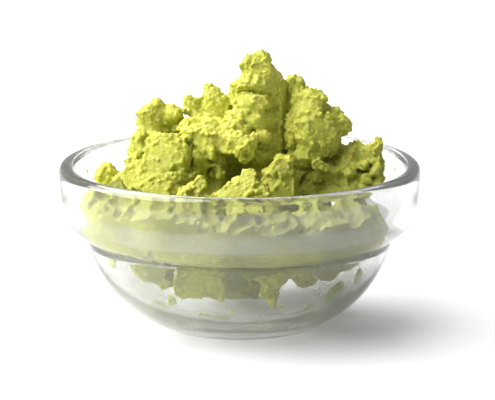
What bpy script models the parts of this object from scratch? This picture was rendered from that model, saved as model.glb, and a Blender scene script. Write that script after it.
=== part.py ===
"""A small stacking glass bowl heaped with crumbly lumps of wasabi paste.

Run it with: blender --background --python part.py
Lengths below are millimetres, in the part's own frame: +Z up, origin on the bowl's axis at the
surface that it stands on, and the fuller front of the heap towards -Y. The meshes are in metres.
"""

import math
from dataclasses import dataclass

import bmesh
import bpy
from mathutils import Matrix, Vector, noise

MM = 0.001

# The bowl: a pressed stacking bowl with a thick upright band below a full round lip.
RIM_RADIUS = 45.0
HEIGHT = 40.6
LIP_RADIUS = 1.9
BAND_FOOT, BAND_PULL = (44.5, 31.0), (44.2, 25.8)
STEP, STEP_UNDERCUT = (38.4, 22.4), 0.3
HEEL, BODY_PULL = (20.4, 0.3), (34.5, 6.6)
FOOT_OUTER, FOOT_INNER, FOOT_RECESS = 19.6, 17.2, 0.5
WALL_TOP = (41.2, 36.4)
WALL_SHOULDER = (41.2, 26.6)
WALL_WAIST = (36.1, 21.6)
WALL_PULL = (32.7, 7.9)
FLOOR_EDGE = (18.2, 2.9)
FLOOR_Z = 2.7
BOWL_SIDES = 48

# What the pieces keep between them.
PASTE_GAP = 0.34
GLASS_GAP = 0.5

# The grain of the broken paste: domes of two sizes, and a slower swell under them.
LUMP_VOXEL = 0.8
SWELL_SIZE, SWELL_HEIGHT = 7.5, 0.9
NODULE_SIZE, NODULE_HEIGHT = 4.4, 2.1
CRUMB_SIZE, CRUMB_HEIGHT = 2.3, 0.9
DOME_REACH, DOME_MEAN = 0.85, 0.88

PASTE_COLOUR = (0.50, 0.55, 0.09, 1.0)
SMEAR_COLOUR = (0.46, 0.55, 0.12, 1.0)
GLASS_COLOUR = (0.96, 0.98, 0.97, 1.0)


@dataclass(frozen=True)
class Lobe:
    """One swelling of a lump, by its centre and half widths: turned about Z, leaned about Y, squarer past 2."""

    centre: tuple
    half: tuple
    turn: float = 0.0
    lean: float = 0.0
    square: float = 2.0


@dataclass(frozen=True)
class Break:
    """A flat broken face: what lies beyond the point along the normal has come away."""

    point: tuple
    normal: tuple


@dataclass(frozen=True)
class Lump:
    """One broken-off lump of paste: its lobes, its flat breaks and how many triangles its form needs."""

    name: str
    lobes: tuple
    faces: int
    breaks: tuple = ()


@dataclass(frozen=True)
class Smear:
    """Paste stuck to the inside of the glass: where it sits, its half width and half height, and its slant."""

    bearing: float
    height: float
    half_width: float
    half_height: float
    slant: float = 0.0


# The first lump is whole, and each later one gives way to those before it where they press together.
LUMPS = (
    Lump("paste_lump_peak", (
        Lobe((4.6, 1.0, 64.2), (3.8, 3.6, 3.8), square=3.0),
        Lobe((0.6, 0.2, 64.3), (1.9, 1.9, 1.6)),
        Lobe((2.8, -0.8, 60.9), (3.8, 3.4, 1.9), square=3.0),
        Lobe((-1.0, 0.2, 60.0), (2.4, 2.6, 1.9)),
        Lobe((8.2, 2.2, 59.6), (3.2, 3.6, 3.6)),
        Lobe((3.6, 1.4, 58.4), (4.0, 3.2, 3.0)),
        Lobe((-1.0, 0.8, 56.4), (2.8, 3.2, 3.2)),
        Lobe((2.9, -1.2, 52.4), (4.8, 4.2, 4.9), turn=-14, square=5.0),
        Lobe((9.2, 3.4, 54.6), (3.6, 4.2, 6.2), square=3.0),
        Lobe((10.6, 3.2, 48.0), (3.2, 4.6, 5.0)),
        Lobe((4.0, 0.6, 45.8), (6.0, 5.0, 4.4)),
        Lobe((9.6, 2.6, 42.6), (4.2, 5.0, 4.0)),
    ), 1100),
    Lump("paste_core", (
        Lobe((0.0, 3.0, 25.0), (24.0, 18.0, 11.5), square=2.4),
        Lobe((-1.0, 5.0, 38.0), (17.0, 9.0, 9.0)),
        Lobe((18.0, 4.0, 36.0), (9.0, 8.0, 7.0)),
        Lobe((-9.6, -3.4, 40.2), (3.4, 4.2, 4.6)),
        Lobe((-4.4, -3.2, 39.6), (3.2, 4.2, 5.0)),
        Lobe((2.6, -1.0, 37.0), (7.0, 6.0, 4.6)),
        Lobe((12.0, 0.0, 34.8), (6.0, 6.0, 4.0)),
        Lobe((-1.0, 3.0, 11.0), (13.0, 11.0, 8.0)),
    ), 760),
    Lump("paste_lump_right", (
        Lobe((17.5, 3.0, 54.8), (4.4, 4.6, 3.7), square=3.0),
        Lobe((13.7, 5.4, 59.0), (1.9, 2.0, 2.2), square=3.0),
        Lobe((14.4, 5.2, 55.4), (2.4, 2.8, 2.8)),
        Lobe((23.6, 3.4, 50.8), (3.8, 4.4, 3.2)),
        Lobe((25.6, 3.0, 48.8), (2.6, 3.2, 2.6)),
        Lobe((18.2, 0.4, 48.6), (6.4, 6.0, 6.0), square=2.6),
        Lobe((15.4, -1.2, 42.6), (4.4, 4.4, 4.0)),
        Lobe((19.4, -3.6, 41.4), (2.2, 2.0, 1.8)),
        Lobe((22.0, 0.4, 43.6), (3.6, 4.0, 3.0)),
    ), 900),
    Lump("paste_lump_shelf", (
        Lobe((-11.6, -2.6, 49.2), (4.6, 4.2, 2.0)),
        Lobe((-6.6, -4.6, 48.6), (4.4, 4.2, 2.4)),
        Lobe((-7.4, -6.6, 45.2), (1.9, 1.8, 2.4), lean=14),
        Lobe((-10.8, -5.2, 46.9), (1.7, 2.0, 1.5)),
        Lobe((-1.6, -6.4, 47.6), (3.8, 3.6, 2.9)),
        Lobe((0.9, -8.0, 45.6), (2.9, 2.8, 3.2), square=3.0),
        Lobe((0.9, -8.4, 43.0), (1.8, 2.0, 1.7)),
        Lobe((-3.0, -7.4, 44.8), (1.5, 1.7, 1.5)),
    ), 700),
    Lump("paste_lump_crest", (
        Lobe((-12.0, 3.2, 54.4), (2.6, 2.5, 2.8), square=3.0),
        Lobe((-8.0, 3.0, 58.0), (1.8, 2.2, 2.4), lean=-14, square=3.0),
        Lobe((-5.8, 2.8, 55.8), (2.6, 2.8, 3.0), lean=-20),
        Lobe((-4.4, 2.4, 52.8), (2.4, 2.8, 3.2)),
        Lobe((-8.6, 2.6, 51.6), (4.2, 4.0, 2.8)),
    ), 560),
    Lump("paste_lump_left_top", (
        Lobe((-22.0, 2.6, 51.4), (3.8, 3.7, 4.0), square=3.0),
        Lobe((-20.8, 2.6, 54.8), (1.8, 2.0, 1.5)),
        Lobe((-16.9, 2.4, 51.9), (2.8, 3.0, 2.5), square=2.6),
        Lobe((-21.8, 2.0, 47.0), (4.0, 4.2, 3.2)),
        Lobe((-16.2, 2.6, 48.0), (3.6, 3.8, 2.6)),
    ), 560),
    Lump("paste_lump_left", (
        Lobe((-18.2, -5.6, 43.8), (5.4, 4.8, 5.4), turn=10, square=4.0),
        Lobe((-14.8, -5.0, 45.6), (2.8, 3.4, 3.0)),
        Lobe((-24.4, -6.2, 40.2), (4.2, 4.4, 3.8), square=2.6),
        Lobe((-17.6, -8.2, 37.0), (6.8, 5.0, 4.6), square=2.6),
        Lobe((-12.4, -8.8, 38.4), (2.6, 2.6, 2.4)),
    ), 760),
    Lump("paste_lump_front", (
        Lobe((2.2, -18.8, 40.4), (2.0, 2.4, 2.5), lean=-8, square=2.6),
        Lobe((0.4, -19.2, 38.0), (4.4, 3.8, 2.9), lean=-22, square=2.6),
        Lobe((5.0, -19.8, 37.0), (3.0, 3.0, 2.4)),
        Lobe((-3.2, -20.6, 34.6), (4.6, 4.4, 2.6)),
        Lobe((-0.2, -23.0, 30.6), (7.2, 6.2, 5.2), square=2.6),
        Lobe((1.4, -24.0, 25.0), (2.6, 2.8, 3.6)),
    ), 600),
    Lump("paste_lump_far_right", (
        Lobe((34.6, 1.8, 44.6), (1.7, 1.8, 2.2)),
        Lobe((32.2, 2.2, 42.2), (3.0, 3.2, 2.6)),
        Lobe((28.8, 2.8, 42.8), (2.8, 3.2, 2.6)),
        Lobe((33.4, 0.6, 38.0), (2.8, 4.0, 4.2), square=2.6),
        Lobe((27.6, 0.8, 38.4), (4.8, 5.0, 4.0)),
        Lobe((21.0, 0.0, 37.4), (4.8, 4.8, 3.6)),
        Lobe((19.6, -1.6, 33.6), (4.8, 5.0, 2.6)),
        Lobe((28.2, -1.0, 33.2), (6.2, 6.2, 3.2)),
    ), 760),
    Lump("paste_lump_far_left", (
        Lobe((-33.2, -4.6, 38.4), (3.3, 3.4, 3.0)),
        Lobe((-29.2, -5.6, 36.8), (2.8, 3.0, 2.2)),
        Lobe((-31.6, -5.0, 33.0), (4.6, 4.8, 3.6)),
    ), 340),
    Lump("paste_slab_front", (
        Lobe((10.8, -9.6, 39.6), (3.0, 3.0, 5.0), square=6.0),
        Lobe((7.8, -9.0, 38.6), (2.8, 2.8, 3.2)),
        Lobe((14.6, -8.6, 36.4), (1.7, 1.9, 2.4)),
        Lobe((11.6, -11.4, 34.4), (5.0, 4.2, 3.4)),
    ), 400),
    Lump("paste_lump_front_left", (
        Lobe((-9.4, -17.8, 38.6), (1.7, 2.0, 2.4), square=2.6),
        Lobe((-11.8, -18.4, 36.2), (3.8, 3.4, 2.6), lean=-10, square=2.6),
        Lobe((-12.8, -19.8, 31.6), (5.6, 5.0, 4.6)),
        Lobe((-8.0, -17.0, 33.2), (4.0, 4.0, 3.2)),
        Lobe((-8.6, -22.4, 26.6), (3.8, 3.4, 4.6)),
    ), 420),
    Lump("paste_lump_back", (
        Lobe((1.0, 11.6, 46.4), (6.6, 5.0, 6.4), square=2.6),
        Lobe((-3.6, 10.6, 50.6), (3.2, 3.2, 2.8)),
        Lobe((8.4, 13.6, 40.4), (6.2, 5.6, 5.6)),
        Lobe((-4.0, 14.4, 39.0), (6.4, 6.0, 5.6)),
        Lobe((2.0, 17.0, 33.4), (9.0, 7.0, 5.0)),
    ), 420),
    Lump("paste_lump_back_left", (
        Lobe((-16.4, 9.6, 43.8), (5.4, 4.8, 4.6), square=2.6),
        Lobe((-20.6, 10.4, 38.4), (6.2, 6.0, 4.8)),
        Lobe((-13.6, 15.4, 35.4), (5.4, 5.4, 4.6)),
        Lobe((-24.0, 3.4, 38.6), (4.0, 5.0, 4.0)),
    ), 340),
    Lump("paste_lump_back_right", (
        Lobe((20.4, 10.4, 44.2), (5.0, 4.6, 4.8), square=2.6),
        Lobe((23.4, 11.0, 38.4), (6.0, 6.0, 4.8)),
        Lobe((16.6, 17.0, 35.0), (5.8, 5.6, 4.8)),
    ), 340),
    Lump("paste_chunk_front_left", (
        Lobe((-9.2, -20.4, 16.6), (7.0, 5.0, 6.2), turn=8, square=5.0),
        Lobe((-4.8, -20.0, 12.8), (3.0, 3.4, 3.2), square=3.0),
    ), 320, (
        Break((-9.0, -23.0, 14.0), (-0.1, -0.86, -0.5)),
    )),
    Lump("paste_chunk_front_right", (
        Lobe((7.6, -20.4, 17.6), (4.6, 4.2, 4.2), square=2.6),
        Lobe((11.0, -20.0, 17.0), (1.8, 2.4, 1.8)),
        Lobe((7.4, -20.0, 12.6), (3.1, 3.3, 3.2)),
        Lobe((7.4, -19.2, 8.8), (1.8, 2.0, 2.8)),
    ), 340),
    Lump("paste_chunk_right", (
        Lobe((19.6, -15.6, 18.0), (5.6, 5.0, 4.6)),
        Lobe((25.4, -11.0, 19.4), (4.6, 5.0, 4.2)),
        Lobe((15.6, -14.0, 14.6), (3.4, 3.8, 3.2)),
    ), 320),
    Lump("paste_chunk_left", (
        Lobe((-21.8, -13.8, 18.0), (5.6, 5.2, 5.0)),
        Lobe((-26.0, -9.6, 21.8), (4.8, 5.0, 4.4)),
        Lobe((-18.0, -12.0, 13.6), (3.6, 3.8, 3.2)),
    ), 280),
    Lump("paste_chunk_side_left", (
        Lobe((-30.2, 0.6, 27.4), (4.8, 6.0, 4.8)),
        Lobe((-25.6, 3.0, 23.0), (4.8, 5.2, 4.4)),
    ), 160),
    Lump("paste_chunk_side_right", (
        Lobe((30.4, -0.8, 26.6), (4.8, 6.2, 4.6)),
        Lobe((26.0, 3.8, 21.8), (4.8, 5.2, 4.6)),
    ), 160),
    Lump("paste_chunk_front_high", (
        Lobe((15.8, -20.0, 33.8), (2.8, 2.8, 2.6)),
        Lobe((17.4, -20.6, 27.4), (7.0, 5.4, 4.8)),
        Lobe((25.0, -14.4, 28.6), (4.8, 5.0, 4.0)),
        Lobe((8.6, -24.0, 25.8), (4.2, 4.0, 2.6)),
        Lobe((12.0, -22.6, 23.4), (2.4, 2.6, 3.0)),
    ), 360),
    Lump("paste_chunk_left_high", (
        Lobe((-21.8, -17.6, 28.0), (6.2, 5.4, 4.8)),
        Lobe((-28.8, -10.6, 28.6), (4.8, 5.0, 4.4)),
    ), 260),
    Lump("paste_chunk_back", (
        Lobe((-10.6, 15.6, 17.6), (7.2, 6.2, 6.6)),
        Lobe((6.2, 18.0, 19.4), (7.6, 6.2, 6.8)),
        Lobe((-2.4, 14.0, 14.2), (8.0, 6.0, 5.6)),
        Lobe((-17.6, 9.6, 23.4), (5.6, 5.4, 5.4)),
        Lobe((16.4, 12.4, 21.6), (5.6, 5.6, 5.4)),
    ), 260),
)

SMEARS = (
    Smear(bearing=209, height=19.6, half_width=1.5, half_height=2.1, slant=-12),
    Smear(bearing=226, height=8.4, half_width=1.8, half_height=1.2, slant=-30),
    Smear(bearing=238, height=11.2, half_width=1.0, half_height=1.1, slant=10),
    Smear(bearing=250, height=6.4, half_width=1.4, half_height=0.8, slant=-15),
    Smear(bearing=259, height=5.2, half_width=1.8, half_height=0.8, slant=0),
    Smear(bearing=315, height=12.6, half_width=1.7, half_height=3.3, slant=-24),
    Smear(bearing=305, height=8.6, half_width=1.0, half_height=1.2, slant=-20),
    Smear(bearing=328, height=15.6, half_width=1.2, half_height=1.9, slant=18),
    Smear(bearing=27, height=36.2, half_width=0.9, half_height=0.9, slant=0),
)
SMEAR_SPOKES = 9
SMEAR_RAGGED = 0.45
# From the face on the glass to the face off it: each ring's share of the full size and its depth off the wall.
SMEAR_RINGS = ((0.55, 0.5), (1.0, 0.5), (0.9, 1.15), (0.45, 1.4))


# Shared helpers ------------------------------------------------------------------------------

def new_object(name, mesh):
    """Puts a mesh in the scene as one named object."""
    obj = bpy.data.objects.new(name, mesh)
    bpy.context.scene.collection.objects.link(obj)
    return obj


def finished(obj, material):
    """Gives a node its material and smooth shading."""
    obj.data.materials.clear()
    obj.data.materials.append(material)
    obj.data.shade_smooth()


def new_material(name, colour, roughness, transmission=0.0):
    """A Principled material; its transmission is 1 for clear glass."""
    material = bpy.data.materials.new(name)
    material.use_nodes = True
    shader = material.node_tree.nodes["Principled BSDF"]
    shader.inputs["Base Color"].default_value = colour
    shader.inputs["Roughness"].default_value = roughness
    shader.inputs["Metallic"].default_value = 0.0
    shader.inputs["Transmission Weight"].default_value = transmission
    return material


def mesh_from(bm, name):
    """Turns a bmesh into a mesh in metres with its faces pointing out."""
    bmesh.ops.recalc_face_normals(bm, faces=bm.faces)
    bmesh.ops.scale(bm, vec=(MM, MM, MM), verts=bm.verts)
    mesh = bpy.data.meshes.new(name)
    bm.to_mesh(mesh)
    bm.free()
    return mesh


def evaluated_mesh(obj):
    """The object's mesh with its modifiers applied."""
    graph = bpy.context.evaluated_depsgraph_get()
    return bpy.data.meshes.new_from_object(obj.evaluated_get(graph), depsgraph=graph)


def bend(start, pull, end, steps):
    """Points of a smooth curve from start to end, drawn towards pull; start is left out."""
    points = []
    for i in range(1, steps + 1):
        t = i / steps
        points.append(tuple(
            (1 - t) ** 2 * a + 2 * t * (1 - t) * b + t * t * c for a, b, c in zip(start, pull, end)
        ))
    return points


# The bowl ------------------------------------------------------------------------------------

def outer_outline():
    """Radius and height of the bowl's outside, from the middle of its foot up to the lip."""
    lip_centre = (RIM_RADIUS - LIP_RADIUS, HEIGHT - LIP_RADIUS)
    points = [(0.0, FOOT_RECESS), (FOOT_INNER - 1.2, FOOT_RECESS), (FOOT_INNER, 0.0), (FOOT_OUTER, 0.0), HEEL]
    points += bend(HEEL, BODY_PULL, (STEP[0] - STEP_UNDERCUT, STEP[1] - 2 * STEP_UNDERCUT), 7)
    points += [STEP]
    points += bend(STEP, BAND_PULL, BAND_FOOT, 4)
    points += [
        (lip_centre[0] + LIP_RADIUS * math.cos(a), lip_centre[1] + LIP_RADIUS * math.sin(a))
        for a in (math.radians(d) for d in range(0, 181, 45))
    ]
    return points


def inner_outline():
    """Radius and height of the bowl's inside, from the top of the wall down to the middle of the floor."""
    points = [WALL_TOP]
    points += bend(WALL_TOP, WALL_SHOULDER, WALL_WAIST, 4)
    points += bend(WALL_WAIST, WALL_PULL, FLOOR_EDGE, 6)
    points += [(FLOOR_EDGE[0] - 3.0, FLOOR_Z)]
    points += [(0.0, FLOOR_Z)]
    return points


def glass_bowl(material):
    """The bowl, spun from its outline about Z."""
    bm = bmesh.new()
    verts = [bm.verts.new((r, 0.0, z)) for r, z in outer_outline() + inner_outline()]
    edges = [bm.edges.new(pair) for pair in zip(verts, verts[1:])]
    bmesh.ops.spin(
        bm, geom=verts + edges, cent=(0, 0, 0), axis=(0, 0, 1), angle=math.tau,
        steps=BOWL_SIDES, use_merge=True,
    )
    bmesh.ops.remove_doubles(bm, verts=bm.verts, dist=0.01)
    finished(new_object("glass_bowl", mesh_from(bm, "glass_bowl")), material)


def wall_radius(height):
    """The inside radius of the glass at a height."""
    outline = sorted((z, r) for r, z in inner_outline())
    outline.append((HEIGHT, RIM_RADIUS - 2 * LIP_RADIUS))
    for (z0, r0), (z1, r1) in zip(outline, outline[1:]):
        if z1 > z0 and z0 <= height <= z1:
            return r0 + (r1 - r0) * (height - z0) / (z1 - z0)
    return outline[-1][1]


def held_by_glass(point):
    """The point, moved in where it would come too near the glass. Above the rim nothing holds it."""
    floor = FLOOR_Z + GLASS_GAP
    height = max(point.z, floor)
    if height > HEIGHT:
        return point
    limit = (wall_radius(height) - GLASS_GAP) * math.cos(math.pi / BOWL_SIDES)
    reach = math.hypot(point.x, point.y)
    share = limit / reach if reach > limit else 1.0
    return Vector((point.x * share, point.y * share, height))


# The paste -----------------------------------------------------------------------------------

def domes(point, size):
    """Rounded grains side by side: 1 at the middle of each grain, about 0 in the creases between them."""
    nearest = min(1.0, noise.voronoi(point / size)[0][0] / DOME_REACH)
    return math.sqrt(1.0 - nearest ** 2)


def crumbled(point, normal, seed):
    """The point moved along the normal by the swell, nodules and crumbs of broken paste."""
    place = point + Vector((seed, -2 * seed, 3 * seed))
    rise = SWELL_HEIGHT * noise.noise(place / SWELL_SIZE)
    rise += NODULE_HEIGHT * (domes(place, NODULE_SIZE) - DOME_MEAN)
    rise += CRUMB_HEIGHT * (domes(place, CRUMB_SIZE) - DOME_MEAN)
    return point + normal * rise


def add_lobe(bm, lobe):
    """Adds one lobe: a unit ball pressed towards a block, stretched, turned and put in its place."""
    turn = Matrix.Rotation(math.radians(lobe.turn), 4, "Z") @ Matrix.Rotation(math.radians(lobe.lean), 4, "Y")
    place = Matrix.Translation(lobe.centre) @ turn @ Matrix.Diagonal((*lobe.half, 1.0))
    for vert in bmesh.ops.create_icosphere(bm, subdivisions=3, radius=1.0)["verts"]:
        size = sum(abs(c) ** lobe.square for c in vert.co) ** (1.0 / lobe.square)
        vert.co = place @ (vert.co / size)


def fused_lobes(lump):
    """The lobes of a lump melted into one skin, as an object in metres."""
    bm = bmesh.new()
    for lobe in lump.lobes:
        add_lobe(bm, lobe)
    obj = new_object(lump.name, mesh_from(bm, lump.name))
    remesh = obj.modifiers.new("fuse", "REMESH")
    remesh.mode = "VOXEL"
    remesh.voxel_size = LUMP_VOXEL * MM
    obj.data = evaluated_mesh(obj)
    obj.modifiers.clear()
    return obj


def broken_off(bm, breaks):
    """Cuts the flat breaks and closes each with a face."""
    for cut in breaks:
        done = bmesh.ops.bisect_plane(
            bm, geom=bm.verts[:] + bm.edges[:] + bm.faces[:], plane_co=cut.point,
            plane_no=Vector(cut.normal).normalized(), clear_outer=True,
        )
        rim = [e for e in done["geom_cut"] if isinstance(e, bmesh.types.BMEdge)]
        bmesh.ops.holes_fill(bm, edges=rim, sides=0)


def largest_island(bm):
    """Drops everything but the body with the most faces."""
    unseen, islands = set(bm.verts), []
    while unseen:
        todo, island = [unseen.pop()], set()
        while todo:
            vert = todo.pop()
            island.add(vert)
            for edge in vert.link_edges:
                other = edge.other_vert(vert)
                if other in unseen:
                    unseen.remove(other)
                    todo.append(other)
        islands.append(island)
    keep = max(islands, key=len)
    bmesh.ops.delete(bm, geom=[v for v in bm.verts if v not in keep], context="VERTS")


def rough_lump(lump, seed):
    """A lump before it meets its neighbours: fused, broken, crumbled and thinned to its few faces."""
    obj = fused_lobes(lump)
    bm = bmesh.new()
    bm.from_mesh(obj.data)
    bmesh.ops.scale(bm, vec=(1 / MM, 1 / MM, 1 / MM), verts=bm.verts)
    largest_island(bm)
    broken_off(bm, lump.breaks)
    bm.normal_update()
    for vert in bm.verts:
        vert.co = held_by_glass(crumbled(vert.co, vert.normal, seed))
    bmesh.ops.triangulate(bm, faces=bm.faces)
    faces = len(bm.faces)
    obj.data = mesh_from(bm, lump.name)
    thin = obj.modifiers.new("thin", "DECIMATE")
    thin.ratio = min(1.0, lump.faces / faces)
    obj.data = evaluated_mesh(obj)
    obj.modifiers.clear()
    obj.name = lump.name
    return obj


def swollen_copy(obj, by):
    """A cutter a little larger than the object, kept out of the render."""
    bm = bmesh.new()
    bm.from_mesh(obj.data)
    bm.normal_update()
    for vert in bm.verts:
        vert.co += vert.normal * vert.calc_shell_factor() * by * MM
    mesh = bpy.data.meshes.new(obj.name + "_room")
    bm.to_mesh(mesh)
    bm.free()
    cutter = bpy.data.objects.new(obj.name + "_room", mesh)
    cutter.hide_render = True
    cutter.display_type = "WIRE"
    bpy.context.scene.collection.objects.link(cutter)
    return cutter


def near(a, b, reach=1.0):
    """True if the two objects' boxes come within reach of each other."""
    def span(obj, axis):
        values = [v.co[axis] for v in obj.data.vertices]
        return min(values), max(values)
    for axis in range(3):
        (low_a, high_a), (low_b, high_b) = span(a, axis), span(b, axis)
        if low_a > high_b + reach * MM or low_b > high_a + reach * MM:
            return False
    return True


def cut_back(obj, cutter):
    """Cuts the object by the cutter. Where the exact solver leaves an open or empty mesh, the other one is used."""
    for solver in ("EXACT", "MANIFOLD"):
        cut = obj.modifiers.new("give_way", "BOOLEAN")
        cut.operation = "DIFFERENCE"
        cut.solver = solver
        cut.object = cutter
        mesh = evaluated_mesh(obj)
        obj.modifiers.clear()
        bm = bmesh.new()
        bm.from_mesh(mesh)
        closed = len(bm.faces) > 0 and all(edge.is_manifold for edge in bm.edges)
        bm.free()
        if closed:
            obj.data = mesh
            return


def make_room(obj, cutters):
    """Cuts the lump back from the lumps it presses on, and keeps its one main body."""
    for cutter in cutters:
        if near(obj, cutter):
            cut_back(obj, cutter)
    bm = bmesh.new()
    bm.from_mesh(obj.data)
    largest_island(bm)
    bmesh.ops.triangulate(bm, faces=bm.faces)
    bm.to_mesh(obj.data)
    bm.free()


def paste_lumps(material):
    """All the lumps, each given way to those before it."""
    cutters = []
    for index, lump in enumerate(LUMPS):
        obj = rough_lump(lump, 13.0 + 7.0 * index)
        make_room(obj, cutters)
        cutters.append(swollen_copy(obj, PASTE_GAP))
        finished(obj, material)
    for cutter in cutters:
        bpy.data.objects.remove(cutter)


def wall_point(bearing, height, depth):
    """A point off the inside of the glass: its bearing in degrees, its height and how far in from the wall."""
    inward = Vector((-1.0, wall_radius(height + 0.5) - wall_radius(height - 0.5))).normalized()
    radius = wall_radius(height) * math.cos(math.pi / BOWL_SIDES) + inward.x * depth
    angle = math.radians(bearing)
    return Vector((radius * math.cos(angle), radius * math.sin(angle), height + inward.y * depth))


def smear_ring(bm, index, smear, share, depth):
    """One ragged ring of a smear, wrapped on the glass."""
    slant = math.radians(smear.slant)
    ring = []
    for spoke in range(SMEAR_SPOKES):
        angle = math.tau * spoke / SMEAR_SPOKES
        reach = share * (1.0 + SMEAR_RAGGED * noise.noise(Vector((index * 3.7, spoke * 1.9, 0.5))))
        across = reach * smear.half_width * math.cos(angle)
        along = reach * smear.half_height * math.sin(angle)
        height = smear.height + across * math.sin(slant) + along * math.cos(slant)
        sideways = across * math.cos(slant) - along * math.sin(slant)
        bearing = smear.bearing + math.degrees(sideways / wall_radius(height))
        ring.append(bm.verts.new(wall_point(bearing, height, depth)))
    return ring


def paste_smear(index, smear, material):
    """A thin ragged patch of paste that follows the glass."""
    bm = bmesh.new()
    rings = [smear_ring(bm, index, smear, share, depth) for share, depth in SMEAR_RINGS]
    for lower, upper in zip(rings, rings[1:]):
        for i in range(SMEAR_SPOKES):
            j = (i + 1) % SMEAR_SPOKES
            bm.faces.new((lower[i], lower[j], upper[j], upper[i]))
    bm.faces.new(rings[0])
    bm.faces.new(rings[-1])
    bmesh.ops.triangulate(bm, faces=bm.faces)
    name = f"paste_smear_{index + 1:02d}"
    finished(new_object(name, mesh_from(bm, name)), material)


def main():
    for obj in list(bpy.data.objects):
        bpy.data.objects.remove(obj)
    glass_bowl(new_material("glass", GLASS_COLOUR, 0.03, transmission=1.0))
    paste_lumps(new_material("paste", PASTE_COLOUR, 0.62))
    smeared = new_material("smeared_paste", SMEAR_COLOUR, 0.5)
    for index, smear in enumerate(SMEARS):
        paste_smear(index, smear, smeared)


main()
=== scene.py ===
"""The looks of a small clear glass bowl heaped with crumbly wasabi paste.

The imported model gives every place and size. This script dresses it: each lump of paste becomes a
finer crumbly piece grown from its own solid, the bowl is spun again with smooth walls, and the
glass gets its film of paste, its smears and its specks.
"""
import logging
import math
import random
from dataclasses import dataclass, field
from enum import Enum
from typing import Any, Sequence

import bmesh
import bpy
from mathutils import Matrix, Vector, noise
from mathutils.bvhtree import BVHTree


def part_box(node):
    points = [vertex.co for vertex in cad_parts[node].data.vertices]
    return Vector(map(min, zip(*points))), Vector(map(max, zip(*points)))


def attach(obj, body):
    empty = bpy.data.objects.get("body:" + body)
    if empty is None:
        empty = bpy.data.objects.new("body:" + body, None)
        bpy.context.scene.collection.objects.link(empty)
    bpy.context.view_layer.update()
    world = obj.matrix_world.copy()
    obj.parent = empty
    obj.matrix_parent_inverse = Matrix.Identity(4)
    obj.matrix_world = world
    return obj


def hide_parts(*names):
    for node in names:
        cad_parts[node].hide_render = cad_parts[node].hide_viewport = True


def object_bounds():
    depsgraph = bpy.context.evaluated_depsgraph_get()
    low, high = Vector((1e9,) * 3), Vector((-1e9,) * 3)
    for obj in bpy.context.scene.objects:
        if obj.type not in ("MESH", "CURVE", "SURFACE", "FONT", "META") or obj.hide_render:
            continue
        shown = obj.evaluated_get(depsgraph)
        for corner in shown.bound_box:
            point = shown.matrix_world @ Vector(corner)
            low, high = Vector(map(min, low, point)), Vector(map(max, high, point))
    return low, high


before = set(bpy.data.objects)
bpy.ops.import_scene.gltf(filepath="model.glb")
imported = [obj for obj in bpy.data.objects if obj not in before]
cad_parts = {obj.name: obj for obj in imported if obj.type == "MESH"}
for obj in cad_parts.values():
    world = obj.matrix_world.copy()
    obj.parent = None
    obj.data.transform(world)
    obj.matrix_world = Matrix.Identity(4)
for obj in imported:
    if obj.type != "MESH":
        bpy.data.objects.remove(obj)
CAD_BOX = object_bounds()

MM = 0.001
ROOT = "root"
log = logging.getLogger("wasabi_bowl")

Point = tuple[float, float]
Place = tuple[float, float, float]
Colour = tuple[float, float, float, float]


class Slot(Enum):
    """The record's material slots."""

    GLASS = "glass"
    PASTE = "paste"
    SMEARED = "smeared_paste"


# Shader maths --------------------------------------------------------------------------------

class Value:
    """A shader socket that number expressions can be written with."""

    def __init__(self, shader: "Shader", socket: bpy.types.NodeSocket) -> None:
        """Wraps a socket.

        Args:
            shader: The material that the socket belongs to.
            socket: An output socket.
        """
        self.shader = shader
        self.socket = socket

    def _math(self, operation: str, *operands: Any, clamp: bool = False) -> "Value":
        """One Math node on the operands."""
        settings = {"operation": operation, "use_clamp": clamp}
        return self.shader.node("ShaderNodeMath", settings, dict(enumerate(operands)))

    def __add__(self, other: Any) -> "Value":
        """Adds."""
        return self._math("ADD", self, other)

    __radd__ = __add__

    def __mul__(self, other: Any) -> "Value":
        """Multiplies."""
        return self._math("MULTIPLY", self, other)

    __rmul__ = __mul__

    def __sub__(self, other: Any) -> "Value":
        """Subtracts the other."""
        return self._math("SUBTRACT", self, other)

    def __rsub__(self, other: Any) -> "Value":
        """Subtracts this from the other."""
        return self._math("SUBTRACT", other, self)

    def __pow__(self, power: float) -> "Value":
        """Raises to a power."""
        return self._math("POWER", self, power)

    def clamped(self) -> "Value":
        """Holds the value between 0 and 1."""
        return self._math("ADD", self, 0.0, clamp=True)

    def ramp(self, low: float, high: float) -> "Value":
        """A smooth step: 0 at low, 1 at high.

        Args:
            low: The value that gives 0.
            high: The value that gives 1.

        Returns:
            The stepped value.
        """
        settings = {"interpolation_type": "SMOOTHSTEP"}
        inputs = {0: self, 1: low, 2: high, 3: 0.0, 4: 1.0}
        return self.shader.node("ShaderNodeMapRange", settings, inputs)

    def zone(self, ends: Point) -> "Value":
        """A smooth step along a length: 0 before the first end and 1 past the second, in millimetres."""
        return self.ramp(ends[0] * MM, ends[1] * MM)


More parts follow.
